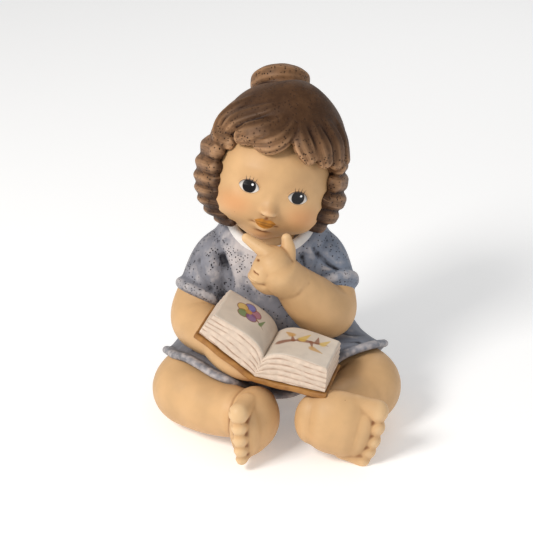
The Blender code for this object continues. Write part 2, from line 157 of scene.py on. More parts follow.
def cast(name, masses, grain, rounds):
    """One closed skin round all the masses: voxels of the grain's size in mm, then softened."""
    piece = mesh_piece(name, masses)
    fuse = piece.modifiers.new("fuse", "REMESH")
    fuse.mode = "VOXEL"
    fuse.voxel_size = grain * MM
    fuse.use_smooth_shade = True
    bpy.context.view_layer.update()
    skin = bpy.data.meshes.new_from_object(piece.evaluated_get(bpy.context.evaluated_depsgraph_get()))
    piece.modifiers.remove(fuse)
    rough = piece.data
    piece.data = skin
    bpy.data.meshes.remove(rough)
    write(piece, soften(read(piece, "points"), read(piece, "edges"), rounds))
    return piece


def keep_value(piece, name, values):
    """One number for each point, which the materials read by its name."""
    layer = piece.data.attributes.new(name, "FLOAT", "POINT")
    layer.data.foreach_set("value", values.astype(np.float32))


def find_hollows(piece, rounds):
    """Keeps how far each point lies under the skin softened round it, in mm: there a wash and painted shade
    go.
    """
    points = read(piece, "points")
    around = soften(points, read(piece, "edges"), rounds)
    depth = ((around - points) * read(piece, "normals")).sum(1)
    keep_value(piece, "hollow", depth)


class Value:
    """A socket of a shader that takes part in sums: each operation adds its Math node."""

    def __init__(self, tree, socket):
        self.tree, self.socket = tree, socket

    def node(self, kind, settings=None, out=0, **inputs):
        """Any node with its settings. Sockets are named with _ for a space, or with i and their number."""
        made = self.tree.nodes.new("ShaderNode" + kind)
        for name, value in (settings or {}).items():
            setattr(made, name, value)
        for name, value in inputs.items():
            key = int(name[1:]) if name[1:].isdigit() else name.replace("_", " ")
            self.feed(made.inputs[key], value)
        return Value(self.tree, made.outputs[out])

    def feed(self, socket, value):
        """Links a value to a socket, or sets the socket to a constant."""
        if isinstance(value, Value):
            self.tree.links.new(value.socket, socket)
        else:
            socket.default_value = (*value, 1) if socket.type == "RGBA" and len(value) == 3 else value

    def compute(self, operation, *others):
        """A Math node of this value and the others."""
        inputs = {f"i{k}": value for k, value in enumerate((self, *others))}
        return self.node("Math", {"operation": operation}, **inputs)

    def __add__(self, other):
        return self.compute("ADD", other)

    def __sub__(self, other):
        return self.compute("SUBTRACT", other)

    def __mul__(self, other):
        return self.compute("MULTIPLY", other)

    def __truediv__(self, other):
        return self.compute("DIVIDE", other)

    def __pow__(self, other):
        return self.compute("POWER", other)

    def __rsub__(self, other):
        return (self * -1) + other

    def __abs__(self):
        return self.compute("ABSOLUTE")

    __radd__, __rmul__ = __add__, __mul__

    def least(self, other):
        return self.compute("MINIMUM", other)

    def most(self, other):
        return self.compute("MAXIMUM", other)

    def step(self, low, high):
        """0 below low and 1 above high, with a soft step between them; falling if low is above high."""
        settings = {"interpolation_type": "SMOOTHSTEP"}
        if low < high:
            return self.node("MapRange", settings, Value=self, From_Min=low, From_Max=high)
        return 1 - self.node("MapRange", settings, Value=self, From_Min=high, From_Max=low)

    def mix(self, below, above):
        """The colour below where this mask is 0, and the colour above where it is 1."""
        made = self.tree.nodes.new("ShaderNodeMix")
        made.data_type = "RGBA"
        for key, value in ((0, self), (6, below), (7, above)):
            self.feed(made.inputs[key], value)
        return Value(self.tree, made.outputs[2])


class Finish:
    """A new material: its shader, and the surface's own places and values to work from."""

    def __init__(self, name, roughness, **constants):
        self.material = bpy.data.materials.new(name)
        self.material.use_nodes = True
        self.tree = self.material.node_tree
        self.shader = self.tree.nodes["Principled BSDF"]
        self.root = Value(self.tree, None)
        self.set(Roughness=roughness, **constants)
        self.place = self.root.node("TexCoord", out=3)
        self.colour = None

    def set(self, **values):
        """Values or constants for the shader's sockets, by name with _ for a space."""
        for name, value in values.items():
            self.root.feed(self.shader.inputs[name.replace("_", " ")], value)

    def lay(self, mask, colour):
        """Lays a colour over the finish's own one, as far as the mask goes."""
        self.colour = mask.mix(self.colour, colour)

    def attribute(self, name):
        """The number that keep_value left on each point."""
        return self.root.node("Attribute", {"attribute_name": name}, out=2)

    def frame(self, at, turn=(0, 0, 0)):
        """x, y and z in mm, measured in a frame that stands at a place and is turned by Euler angles."""
        where = self.root.node(
            "Mapping", {"vector_type": "TEXTURE"}, Vector=self.place,
            Location=[value * MM for value in at], Rotation=turn, Scale=(MM, MM, MM),
        )
        return [where.node("SeparateXYZ", out=k, Vector=where) for k in range(3)]

    def noise(self, size, detail=3):
        """Soft cloudy values round 0.5, whose clouds are so many mm across."""
        return self.root.node("TexNoise", Vector=self.place, Scale=1 / (size * MM), Detail=detail)

    def holes(self, spacing, width, seed):
        """1 in small round pricks that lie so far apart and are so wide, in mm, and 0 elsewhere."""
        moved = self.place.node("VectorMath", {"operation": "ADD"}, i0=self.place, i1=(seed, seed, seed))
        far = moved.node("TexVoronoi", Vector=moved, Scale=1 / (spacing * MM))
        rim = width / 2 / spacing
        return far.step(rim, rim * 0.6)

    def bump(self, height, distance):
        """Feeds the normal from a height between 0 and 1 that stands for so many mm."""
        made = self.root.node("Bump", Height=height, Distance=distance * MM, Strength=1.0)
        self.set(Normal=made)


def dimmed(colour, share):
    """The colour at a share of its brightness."""
    return [share * value for value in colour]


SKIN = (0.66, 0.405, 0.195)
SKIN_HIGHLIGHT = (0.76, 0.52, 0.285)
SKIN_WASH_AND_SHADE = (0.22, 0.08, 0.022)
SKIN_BLUSH = (0.62, 0.24, 0.08)


def skin_finish(name):
    """Matt bisque, cloudy: painted highlights on the ridges, wash and painted shade in the creases, fine
    grain.
    """
    finish = Finish(name, 0.5, Specular_IOR_Level=0.32)
    hollow = finish.attribute("hollow")
    finish.colour = finish.noise(16).step(0.3, 0.7).mix(SKIN, dimmed(SKIN, 0.86))
    # Painted highlight: paler on the ridges, where the light catches.
    finish.lay((hollow * -1).step(0.02, 0.45) * 0.9, SKIN_HIGHLIGHT)
    # Brown wash in the creases, which also paints the shade that falls there.
    finish.lay(hollow.step(0.0, 0.34) * 0.92, SKIN_WASH_AND_SHADE)
    finish.lay(finish.holes(9.0, 0.7, 3.1) * 0.55, SKIN_WASH_AND_SHADE)
    grain = finish.noise(0.35, 2) * 0.4 + finish.noise(2.2, 2) * 0.6
    finish.set(Roughness=finish.noise(6).step(0.2, 0.8) * 0.12 + 0.44)
    finish.bump(grain, 0.05)
    finish.set(Base_Color=finish.colour)
    return finish


# Knots from hip to heel: x, y, z, half width and half thickness
LEGS = {
    "right": [
        (-17, 2, 21, 21, 20),
        (-34, -24, 20.5, 21, 20),
        (-47, -46, 19.5, 19.6, 19),
        (-38, -60, 19, 17.4, 17),
        (-28, -70, 20, 15.4, 15.4),
        (-20, -78, 22, 13.4, 14),
    ],
    "left": [
        (17, 2, 21, 21, 20),
        (34, -24, 20.5, 21, 20),
        (52, -46, 22, 19.6, 19.4),
        (46, -61, 20, 17.4, 17),
        (38, -71, 21, 15.6, 15.6),
        (30, -80, 23, 13, 14),
    ],
}
# The heel, the way to the toes and the way up to the big toe's side
FEET = {
    "right": ((-7, -74, 21), (-0.32, -0.95, -0.02), (-0.02, 0.06, 1.0)),
    "left": ((24.5, -87, 25), (0.93, -0.22, -0.26), (0.3, 0.1, 0.95)),
}
FOOT_LENGTH = 31
# Share of the foot's length, half thickness, half height and shift towards the big toe
FOOT_SHAPE = [
    (-0.08, 9.5, 14, -3),
    (0.06, 12.4, 16.2, -2),
    (0.2, 13.4, 17.4, -1),
    (0.36, 13.2, 17.8, 0),
    (0.54, 11.8, 17.8, 0.4),
    (0.72, 8.6, 16.8, 0.8),
]
# Each toe: its place across the foot at the root and at the tip, how far along they lie, and its half width
TOES = {
    "right": [
        (14, 15.4, 17, 31, 5.3),
        (6, 7.2, 20, 31.5, 4.2),
        (-1, -0.2, 21, 31.5, 4.0),
        (-7.5, -6.8, 20, 31.2, 3.7),
        (-13, -12.6, 18, 30.4, 3.3),
    ],
    "left": [
        (12.8, 13.8, 17, 28.8, 6.0),
        (4.4, 5.2, 20, 30.8, 5.0),
        (-3.2, -2.6, 21, 31.2, 4.7),
        (-9.8, -9.2, 20, 31, 4.4),
        (-15, -14.8, 18, 30, 4.0),
    ],
}


def foot_axes(way, up):
    """The foot's own frame as columns: to the toes, through the sole's thickness, and up to the big toe."""
    x = unit(np.array(way, float))
    y = unit(np.cross(up, x))
    return np.stack([x, y, np.cross(x, y)], 1)


def leg(side):
    """Thigh, shin, foot and toes of one leg, as masses."""
    heel, way, up = FEET[side]
    axes = foot_axes(way, up)

    def place(x, y, z):
        return np.array(heel) + axes @ (x, y, z)

    masses = [tube(LEGS[side], steps=60, sides=40)]
    sole = [(*place(share * FOOT_LENGTH, 0, shift), thick, high) for share, thick, high, shift in FOOT_SHAPE]
    masses.append(tube(sole, steps=50, sides=48, up=axes[:, 2]))
    for root, tip, start, end, half in TOES[side]:
        knots = [
            (*place(start, 0, root), half, half),
            (*place(start * 0.55 + end * 0.45, 0, root * 0.5 + tip * 0.5), half * 0.96, half * 0.98),
            (*place(end, 0, tip), half * 1.03, half * 1.08),
        ]
        masses.append(tube(knots, steps=18, sides=28, up=axes[:, 2]))
    return masses


def flatten(piece):
    """All that would lie below the floor goes up to it, as when the seat is ground flat."""
    points = read(piece, "points")
    points[:, 2] = np.maximum(points[:, 2], 0)
    write(piece, points)


def press_line(piece, line, width, depth):
    """A cut along a line: each point sinks by depth times a bell of its distance over the width."""
    points, line = read(piece, "points"), np.array(line, float)
    near = np.full(len(points), 1e9)
    for start, end in zip(line[:-1], line[1:]):
        way = end - start
        share = np.clip((points - start) @ way / (way @ way), 0, 1)
        near = np.minimum(near, np.linalg.norm(points - start - share[:, None] * way, axis=1))
    write(piece, points - read(piece, "normals") * (depth * np.exp(-((near / width) ** 2)))[:, None])


def toenails(piece, side):
    """A nail on each toe: a low rim in the shape of a C, cut on the toe's upper face near its tip."""
    heel, way, up = FEET[side]
    axes = foot_axes(way, up)
    face = -1 if side == "right" else 1
    for _, tip, _, end, half in TOES[side]:
        bend = np.linspace(-2.2, 2.2, 9)[:, None]
        middle = np.array([end + half * 0.55, face * half * 0.75, tip])
        curl = np.concatenate([-np.cos(bend), face * 0.35 * np.cos(bend), np.sin(bend)], 1)
        rim = np.array(heel) + (middle + half * 0.5 * curl) @ axes.T
        press_line(piece, rim, width=0.45, depth=0.55)


skin = skin_finish("bisque_skin")
for side in ("right", "left"):
    masses = leg(side)
    sign = -1 if side == "right" else 1
    seat = blob((sign * 13, 5, 13), (26, 25, 14))
    limb = cast(f"{side}_leg", masses + [seat], grain=0.78, rounds=5)
    toenails(limb, side)
    flatten(limb)
    find_hollows(limb, rounds=17)
    limb.data.materials.append(skin.material)
    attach(limb, "root")
    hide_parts("reading_girl")


# Arms and hands
# The same bare bisque. Her right hand lies under the book, and her left one is at her chin: a fist with the
# index finger and the thumb stretched, and the other fingers only parted by short cuts.
# Knots from shoulder to wrist: x, y, z, half width and half thickness
ARMS = {
    "right": [
        (-33, -8, 74, 12, 12),
        (-40, -15, 59, 14.6, 14.4),
        (-41.5, -25, 51, 15, 14.6),
        (-36, -39, 50, 12.8, 12.4),
        (-30, -48, 48.5, 10, 9.6),
    ],
    "left": [
        (29, -12, 78, 11, 11),
        (32.5, -22, 65, 14.2, 14.2),
        (30, -34, 61, 15.8, 15.6),
        (20.5, -42, 72, 14.6, 14.4),
        (12, -48, 83.5, 11.6, 11.4),
    ],
}
# The palm under the book, the ball of the thumb, and the fingers as one mass that ends behind the spine
RIGHT_HAND = [
    [
        (-30, -48, 48.5, 10, 9.4),
        (-22.5, -58, 44.8, 10, 8.8),
        (-13.5, -65, 43.2, 9.4, 8),
        (-7, -69, 42.6, 6.6, 6),
    ],
    [(-27, -56, 47, 4.4, 4.2), (-25, -62, 46.6, 4.2, 3.8)],
    [(-13, -66, 41.5, 4.2, 4), (-6.5, -68.5, 42.2, 4.2, 4), (-1.5, -70, 42.6, 3.4, 3.3)],
]
# The hand's back, the folded fingers, the index finger and the thumb
LEFT_HAND = [
    [(9, -50, 87, 11.2, 11), (3, -52, 93, 13.2, 11.2), (0.5, -52.5, 98, 11.6, 9.8)],
    [(-2.5, -53, 95.5, 10.4, 8.4), (-3.5, -52.5, 91, 10, 8.4), (-1.5, -51.5, 88, 8.6, 8)],
    [(2, -54.5, 102.2, 5.4, 5), (-6, -51.5, 106.6, 3.9, 3.7), (-13.8, -46.5, 110.6, 2.7, 2.6)],
    [(7.4, -50.5, 98, 5.2, 5), (8.6, -48, 104.6, 4.1, 3.9), (7.6, -45.8, 110.2, 2.8, 2.7)],
]
# Where the folded fingers part, and where the wrist creases
FINGER_CUTS = [
    [(-15, -50, 97.5), (-12, -57, 97.2), (-7.5, -61.5, 96)],
    [(-15, -50, 92), (-12.5, -57, 91.6), (-8.5, -61.5, 90.6)],
    [(-12, -50, 101.8), (-8, -56, 102.2), (-3, -60, 101.4)],
]
WRIST_CREASE = [(20, -55, 88), (13, -60, 82), (3, -60, 77)]


arm_masses = {
    "right": [tube(line, steps=30, sides=32) for line in RIGHT_HAND],
    "left": [tube(line, steps=22, sides=28) for line in LEFT_HAND],
}
for side, masses in arm_masses.items():
    limb = cast(f"{side}_arm", [tube(ARMS[side], steps=56, sides=40)] + masses, grain=0.62, rounds=4)
    if side == "left":
        for line in FINGER_CUTS:
            press_line(limb, line, width=0.6, depth=1.2)
        press_line(limb, WRIST_CREASE, width=1.8, depth=0.5)
    find_hollows(limb, rounds=17)
    limb.data.materials.append(skin.material)
    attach(limb, "root")
    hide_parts("reading_girl")


# Head and face
# A doll's head of the same bisque with a small snub nose and full cheeks. Eyes, lashes and lips are painted
# on the fired skin, and the cheeks are rubbed with an orange blush. The hair covers all behind the hairline.
HEAD_AT = np.array([0.0, -8.0, 131.0])
HEAD_LEAN, HEAD_BACK = math.radians(15), math.radians(-12)
HEAD_HALF = np.array([33.6, 34.0, 34.0])
EYE_AT = (13.4, -3.8)
EYE_WIDE = 5.4
LID_UP, LID_DOWN = 3.7, 3.3
LID_POWER = 0.62
IRIS = 3.6
NOSE_AT = -12.5
MOUTH_AT = -21.0
# The grids of head and hair end this far up and down, in radians, and a fan closes the rest
NEAR_POLE = 1.54
# Swells and hollows on both sides of the face and in its middle: x, z, half width, half height, how far out
SIDE_SWELLS = {
    "cheek": (18.5, -15.5, 12, 10.5, 3.3),
    "lower cheek": (24, -21, 11, 9, 2.4),
    "eye socket": (*EYE_AT, 8.5, 6.8, -1.3),
    "brow": (12, 6, 9, 4, 0.5),
    "wing of the nose": (2.7, NOSE_AT - 0.7, 1.8, 1.5, 1.7),
    "nostril": (1.8, NOSE_AT - 2.5, 0.95, 0.55, -1.2),
    "bow of the upper lip": (1.9, MOUTH_AT + 1.3, 2.2, 1.0, 1.3),
    "corner of the mouth": (6.5, MOUTH_AT + 0.2, 1.6, 1.3, -0.5),
}
MIDDLE_SWELLS = {
    "nose": (0, NOSE_AT, 3.3, 2.9, 5.0),
    "bridge of the nose": (0, NOSE_AT + 5, 3.0, 3.6, 0.9),
    "forehead": (0, 11, 20, 11, 0.9),
    "mouth": (0, MOUTH_AT + 1, 8, 6.5, 1.9),
    "lower lip": (0, MOUTH_AT - 1.6, 3.5, 1.35, 1.9),
    "gap of the lips": (0, MOUTH_AT - 0.05, 4.8, 0.4, -1.1),
    "dip under the lip": (0, MOUTH_AT - 4.4, 4.6, 1.2, -0.8),
    "chin": (0, MOUTH_AT - 8.2, 8.5, 5, 2.6),
    "groove under the nose": (0, MOUTH_AT + 4, 0.9, 1.5, -0.45),
}


def head_turn():
    """Her head's frame as columns: it leans about Y after it tips about X."""
    c, s, d, t = math.cos(HEAD_LEAN), math.sin(HEAD_LEAN), math.cos(HEAD_BACK), math.sin(HEAD_BACK)
    return np.array([[c, 0, s], [0, 1, 0], [-s, 0, c]]) @ np.array([[1, 0, 0], [0, d, -t], [0, t, d]])


def on_head(points):
    """Places in the head's frame, turned and moved to where the head is."""
    return np.asarray(points, float) @ head_turn().T + HEAD_AT


def head_grid(columns=262, rows=204):
    """The skull as an ellipsoid, finest at the face, pushed out and in along its own rays by the features.

    The angle round is s - 0.7 sin s and the angle up is t - 0.25 sin 2t, so both are dense in front. Each
    feature is a bell in the face's x and z: height * exp(-(dx / wide)^2 - (dz / tall)^2). Towards the chin x
    is times 1 - 0.16 ((-z - 8) / 22)^1.3.
    """
    s = np.linspace(-math.pi, math.pi, columns, endpoint=False)
    t = np.linspace(-NEAR_POLE, NEAR_POLE, rows)[:, None]
    a, e = s - 0.7 * np.sin(s), t - 0.25 * np.sin(2 * t)
    ray = np.stack([np.cos(e) * np.sin(a), -np.cos(e) * np.cos(a), np.sin(e) + 0 * a], -1)
    base = ray * HEAD_HALF
    base[..., 0] *= 1 - 0.16 * np.clip(-(base[..., 2] + 8) / 22, 0, 1.3) ** 1.3
    x, z = base[..., 0], base[..., 2]
    front = np.clip(-ray[..., 1] * 2.2, 0, 1)
    push = np.zeros(x.shape)

    def bell(at_x, at_z, wide, tall, height):
        return height * np.exp(-(((x - at_x) / wide) ** 2) - ((z - at_z) / tall) ** 2)

    for swell in MIDDLE_SWELLS.values():
        push += bell(*swell)
    for sign in (-1, 1):
        for at_x, *swell in SIDE_SWELLS.values():
            push += bell(sign * at_x, *swell)
        across = (x - sign * EYE_AT[0]) / EYE_WIDE
        lid = np.where(z > EYE_AT[1], LID_UP, LID_DOWN) * np.clip(1 - across**2, 0, 1) ** LID_POWER
        past = np.abs(z - EYE_AT[1]) - lid
        brim = np.exp(-(((past - 0.35) / 0.5) ** 2)) * np.clip(1.25 - np.abs(across), 0, 0.3) / 0.3
        push += 0.5 * brim * np.where(z > EYE_AT[1], 1, 0.5) + 0.55 * np.clip(-past / 3, 0, 1) ** 0.5
    return base + ray * (push * front)[..., None]


neck = blob((0, -8, 97), (19, 18, 10.5))
head = mesh_piece("head", [closed(on_head(head_grid())), neck])
head.data.shade_smooth()
find_hollows(head, rounds=18)

LIPS = (0.50, 0.20, 0.022)
LIPS_PALE = (0.70, 0.42, 0.19)
EYE_WHITE = (0.62, 0.575, 0.53)
EYE_BLACK = (0.005, 0.004, 0.005)
LID_BROWN = (0.10, 0.04, 0.02)
# A lash: its place across the upper lid as a share, and how far it leans outwards, in degrees
LASHES = [(-0.42, -16), (-0.12, -4), (0.18, 8), (0.46, 22)]
LASH_LENGTH = 2.3
# Half widths of the upper and the lower lip
LIP_WIDE = (6.1, 5.5)
# Soft patches that are rubbed on: middle, half size and strength
WASHES = [((-12.5, 2.5), (10, 8), 0.14), ((12.5, 2.5), (10, 8), 0.14), ((0, -18), (11, 9), 0.16)]
BLUSHES = [((0, -30), (9, 5), 0.35), ((0, NOSE_AT - 1.5), (4.2, 3.2), 0.22)]


def ellipse(x, z, at, size):
    """How far out a place lies: 0 in the middle and 1 on the ellipse's rim."""
    return (((x - at[0]) / size[0]) ** 2 + ((z - at[1]) / size[1]) ** 2) ** 0.5


def stroke(x, z, start, end, width):
    """A brush stroke that thins out to its end: 1 on the line from start to end, in mm."""
    way = (end[0] - start[0], end[1] - start[1])
    gone = (x - start[0]) * way[0] + (z - start[1]) * way[1]
    share = (gone / (way[0] ** 2 + way[1] ** 2)).most(0).least(1)
    gap = ((x - start[0] - share * way[0]) ** 2 + (z - start[1] - share * way[1]) ** 2) ** 0.5
    return (gap / (1.15 - share)).step(width, width * 0.45)


def face_finish():
    """The same bisque with the blush, the lips, and the two eyes with their lids and lashes painted on."""
    finish = skin_finish("bisque_face")
    x, y, z = finish.frame(HEAD_AT, (HEAD_BACK, HEAD_LEAN, 0))
    front = y.step(-4, -10)
    for at, size, amount in WASHES:
        finish.lay(ellipse(x, z, at, size).step(1.2, 0.3) * front * amount, SKIN_WASH_AND_SHADE)
    for sign in (-1, 1):
        cheek = ellipse(x, z, (sign * 19, -14.5), (13, 9.5)).step(1.15, 0.1)
        finish.lay(cheek * front * 0.5, SKIN_BLUSH)
    for at, size, amount in BLUSHES:
        finish.lay(ellipse(x, z, at, size).step(1.1, 0.1) * front * amount, SKIN_BLUSH)
    bow = 0.8 * ((x / 1.3) ** 2 * -1).compute("EXPONENT")
    upper = MOUTH_AT + 2.5 * (1 - ((x / LIP_WIDE[0]) ** 2).least(1)) ** 0.7 - bow
    lower = MOUTH_AT - 3.4 * (1 - ((x / LIP_WIDE[1]) ** 2).least(1)) ** 0.6
    rim = (upper - z).least(z - lower)
    inside = rim.step(-0.1, 0.25) * front
    finish.lay(rim.step(-0.75, -0.1) * (z - MOUTH_AT).step(0, -1) * front * 0.7, LIPS_PALE)
    finish.lay(inside, finish.noise(3).step(0.3, 0.7).mix(LIPS, dimmed(LIPS, 0.75)))
    gap = (abs(z - MOUTH_AT) + abs(x) * 0.03).step(0.5, 0.1)
    finish.lay(gap * inside * 0.7, dimmed(LIPS, 0.3))
    painted = 0
    for sign in (-1, 1):
        at = (sign * EYE_AT[0], EYE_AT[1])
        across = ((x - at[0]) / EYE_WIDE) ** 2
        lid = (1 - across.least(1)) ** LID_POWER
        top = at[1] + LID_UP * lid
        bottom = at[1] - LID_DOWN * lid
        edge = (top - z).least(z - bottom)
        white = edge.step(0.0, 0.3) * front
        # Painted shade: the eye's white dims under the upper lid.
        ball = (top - z).step(0.2, 2.2).mix(dimmed(EYE_WHITE, 0.5), EYE_WHITE)
        finish.lay(white, ball)
        iris = ellipse(x, z, (at[0], at[1] + 0.35), (IRIS, IRIS * 1.04)).step(1.04, 0.95) * white
        finish.lay(iris, EYE_BLACK)
        dot = ellipse(x, z, (at[0] + 1.5, at[1] + 1.55), (0.6, 0.6)).step(1.2, 0.8) * front
        finish.lay(dot, (0.9, 0.9, 0.9))
        near = across.step(1.12, 0.98) * front
        line = abs(z - top - 0.1).step(0.45, 0.15) * near
        finish.lay(line * 0.85, LID_BROWN)
        under = abs(z - bottom + 0.15).step(0.3, 0.08) * near
        finish.lay(under * 0.4, LID_BROWN)
        for share, lean in LASHES:
            b = math.radians(lean)
            root = (at[0] + share * EYE_WIDE, at[1] + LID_UP * (1 - share**2) ** LID_POWER)
            tip = (root[0] + math.sin(b) * LASH_LENGTH, root[1] + math.cos(b) * LASH_LENGTH)
            finish.lay(stroke(x, z, root, tip, 0.27) * front * 0.95, EYE_BLACK)
        painted = iris + painted
    finish.set(Base_Color=finish.colour, Roughness=(1 - painted.least(1)) * 0.24 + 0.24)
    return finish


head.data.materials.append(face_finish().material)
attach(head, "root")
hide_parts("reading_girl")


# Hair and bun
# Modelled in the clay as broad combed locks: they part over the forehead, roll in fat curls beside the face
# and are drawn up behind into a coiled bun. A brown stain covers them, with painted highlights on the ridges
# and painted shade in the hollows and beside the face, and the locks are pricked with small pin holes.
HAIR_AT = np.array([1.5, 8.0, 8.0])
HAIR_HALF = np.array([38.25, 42.25, 43.25])
# How high the forehead's bare skin reaches: azimuth and elevation
HAIRLINE = [
    (-88, -60), (-72, -6), (-60, -4), (-50, 6), (-40, 13), (-28, 15), (-15, 15), (-5, 20),
    (2, 25), (6, 20), (12, 15), (24, 12), (44, 11), (54, 2), (66, -6), (80, -60),
]
# Locks on the forehead from the parting down: half width, then azimuth, elevation, lift and share of the
# width at each knot
FRINGE = [
    (5.6, [(1, 42, 1.6, 0.4), (-3, 30, 0.6, 0.8), (-8.5, 22, 1.4, 1.0), (-16, 17, 1.6, 1.05),
           (-25, 15, 0.8, 0.7)]),
    (6.4, [(-4, 46, 1.8, 0.4), (-15, 33, 0.2, 0.8), (-25, 25, 1.0, 1.0), (-36, 19, 1.4, 1.0),
           (-44, 15.5, 0.8, 0.7)]),
    (5.8, [(-12, 51, 3.0, 0.4), (-30, 41, 0.6, 0.85), (-46, 32, 0, 1.0), (-56, 24, 0.6, 1.0),
           (-61, 15, 0.6, 0.8)]),
    (5.4, [(-30, 58, 3.1, 0.4), (-60, 43, -0.8, 0.85), (-73, 28, -0.4, 1.0), (-72, 17, 0.8, 1.0),
           (-63, 9, 1.2, 1.0), (-51, 8.5, 0.4, 0.7)]),
    (5.8, [(3.5, 43, 1.8, 0.35), (7.5, 32, 0.6, 0.75), (12, 21.5, 1.5, 1.0), (19.5, 14.0, 1.2, 0.8)]),
    (5.8, [(10, 47, 2.2, 0.35), (22, 34, 0.4, 0.8), (29, 22, 1.3, 1.05), (34.5, 13, 1.0, 0.8)]),
    (5.8, [(20, 51, 2.6, 0.35), (37, 39, 0.2, 0.85), (45, 26, 0.9, 1.0), (48.5, 13.0, 0.8, 0.85)]),
    (5.6, [(34, 57, 3.0, 0.35), (55, 43, -0.5, 0.85), (61, 30, -0.8, 1.05), (62, 15.5, -0.4, 1.0)]),
]
# The rolls beside the face, her right ones first: how far in they start, how far out they reach,
# their height, and their half height and half thickness
ROLLS = {
    -1: [
        (34.5, 42.4, 7.6, 5.2, 6.2),
        (33, 43.0, -0.8, 4.7, 6.4),
        (31, 42.2, -7.8, 4.2, 6.2),
        (29, 40.4, -13.6, 3.9, 6.0),
        (25.5, 37.6, -18.8, 3.6, 5.7),
        (21.5, 33.0, -23.6, 3.4, 5.2),
        (17, 26.4, -27.6, 2.9, 4.4),
    ],
    1: [
        (33, 39.4, 15.5, 5.2, 6.0),
        (33, 42.0, 6.2, 5.6, 6.4),
        (31, 43.4, -3.6, 5.4, 6.4),
        (28, 41.8, -12.2, 4.6, 6.0),
        (24, 37.0, -18.8, 3.8, 5.4),
    ],
}
# A strand of the back hair: elevation and share of its width at each knot
BACK_STRAND = [(-34, 0.8), (-8, 1.05), (18, 1.0), (42, 0.6)]
# The middle line of each lock, for the combing
STRANDS = []


def on_hair(azimuth, elevation, lift=0.0):
    """A place on the hair's dome in the head's frame: azimuth 0 over the face and 90 over her left ear."""
    a, e = np.radians(azimuth), np.radians(elevation)
    ray = np.stack([np.sin(a) * np.cos(e), -np.cos(a) * np.cos(e), np.sin(e)], -1)
    return HAIR_AT + ray * HAIR_HALF + ray * np.asarray(lift)[..., None]


def hair_dome(columns=260, rows=180):
    """The mass under the locks: the dome 1.2 mm smaller, swollen in a crown over the forehead.

    In front it dives by 10 mm times a soft step of how far the place lies under the hairline, so that it ends
    inside the head.
    """
    a = np.linspace(-math.pi, math.pi, columns, endpoint=False)
    e = np.linspace(-NEAR_POLE, NEAR_POLE, rows)[:, None]
    azimuth, elevation = np.degrees(a), np.degrees(e)
    crown = 4.2 * np.exp(-(((elevation - 46) / 26) ** 2) - (azimuth / 110) ** 2)
    crown = crown + 6.4 * np.exp(-(((elevation - 68) / 17) ** 2) - ((azimuth - 5) / 60) ** 2)
    hairline = np.interp(azimuth, *np.transpose(HAIRLINE))
    under = np.clip((hairline - elevation) / 7 + 0.5, 0, 1)
    dive = 10 * under**2 * (3 - 2 * under)
    return closed(on_hair(azimuth, elevation + 0 * azimuth, crown - dive - 1.2))


def lock(line, half, thick):
    """A lock that lies on the dome: knots of azimuth, elevation, lift and a share of its width at each."""
    line = np.array(line, float)
    centre = on_hair(line[:, 0], line[:, 1], line[:, 2])
    knots = np.column_stack([centre, half * line[:, 3], thick * np.minimum(line[:, 3], 1)])
    STRANDS.append(along(knots, 24))
    return tube(knots, 44, 40, around=HAIR_AT, ridges=7, depth=0.055)


def roll(side, inner, reach, height, half, thick):
    """A fat roll that starts beside the face, goes out round the ear and back, and sags in its middle."""
    knots = [
        (side * (inner - 1.0), -16.5, height + 0.4, half * 0.88, thick * 0.7),
        (side * (reach - thick - 2.5), -10, height + 0.2, half * 1.14, thick * 0.97),
        (side * (reach - thick), 1, height - 0.6, half * 1.18, thick),
        (side * (reach - thick - 4), 14, height + 0.6, half * 1.14, thick * 0.95),
        (side * (reach - thick - 14), 26, height + 3.5, half * 0.9, thick * 0.7),
    ]
    STRANDS.append(along(knots, 24))
    return tube(knots, 44, 44, around=HAIR_AT, ridges=7, depth=0.03)


def bun():
    """A coil wound twice round a low core, on a ring frame at the back of the crown."""
    top = on_hair(197, 60)
    up = unit(top - HAIR_AT)
    back = unit(np.cross(up, (1, 0, 0)))
    axes = np.stack([np.cross(back, up), back, up], 1)
    turn = np.linspace(0.5 * math.pi, 4.5 * math.pi, 25)
    shrink = np.linspace(1, 0.3, 25)
    rise = np.linspace(1.2, 9.4, 25)
    ring = np.stack([np.cos(turn) * 12.8 * shrink, np.sin(turn) * 12.8 * shrink, rise], 1)
    coil = np.column_stack([ring @ axes.T + top, 7.0 * shrink**0.7, 7.0 * shrink**0.7])
    STRANDS.append(along(coil, 80))
    return [blob(top, (15.5, 15.5, 13.0), axes), tube(coil, 110, 40, up=up, ridges=7, depth=0.03)]


masses = [hair_dome()]
masses += [lock(line, half, thick=4.1) for half, line in FRINGE]
for side, rolls in ROLLS.items():
    masses += [roll(side, *sizes) for sizes in rolls]
for azimuth in range(110, 251, 20):
    line = [(azimuth, elevation, -2.2, share) for elevation, share in BACK_STRAND]
    masses.append(lock(line, half=7.5, thick=4.5))
masses += bun()
hair = cast("hair", [(on_head(points), quads) for points, quads in masses], grain=0.68, rounds=2)


def comb(piece, strands):
    """Marks each point with its place across the nearest strand, in mm, plus a jump from strand to strand."""
    points = (read(piece, "points") - HEAD_AT) @ head_turn()
    lines = np.concatenate(strands)[:, :3]
    ways = np.concatenate([unit(np.gradient(strand[:, :3], axis=0)) for strand in strands])
    number = np.concatenate([np.full(len(strand), k * 37.0) for k, strand in enumerate(strands)])
    nearest = np.empty(len(points), int)
    for start in range(0, len(points), 20000):
        part = points[start : start + 20000]
        gap = (part**2).sum(1)[:, None] - 2 * part @ lines.T + (lines**2).sum(1)
        nearest[start : start + 20000] = gap.argmin(1)
    out = unit(points - HAIR_AT)
    side = unit(np.cross(ways[nearest], out))
    keep_value(piece, "across", ((points - lines[nearest]) * side).sum(1) + number[nearest])


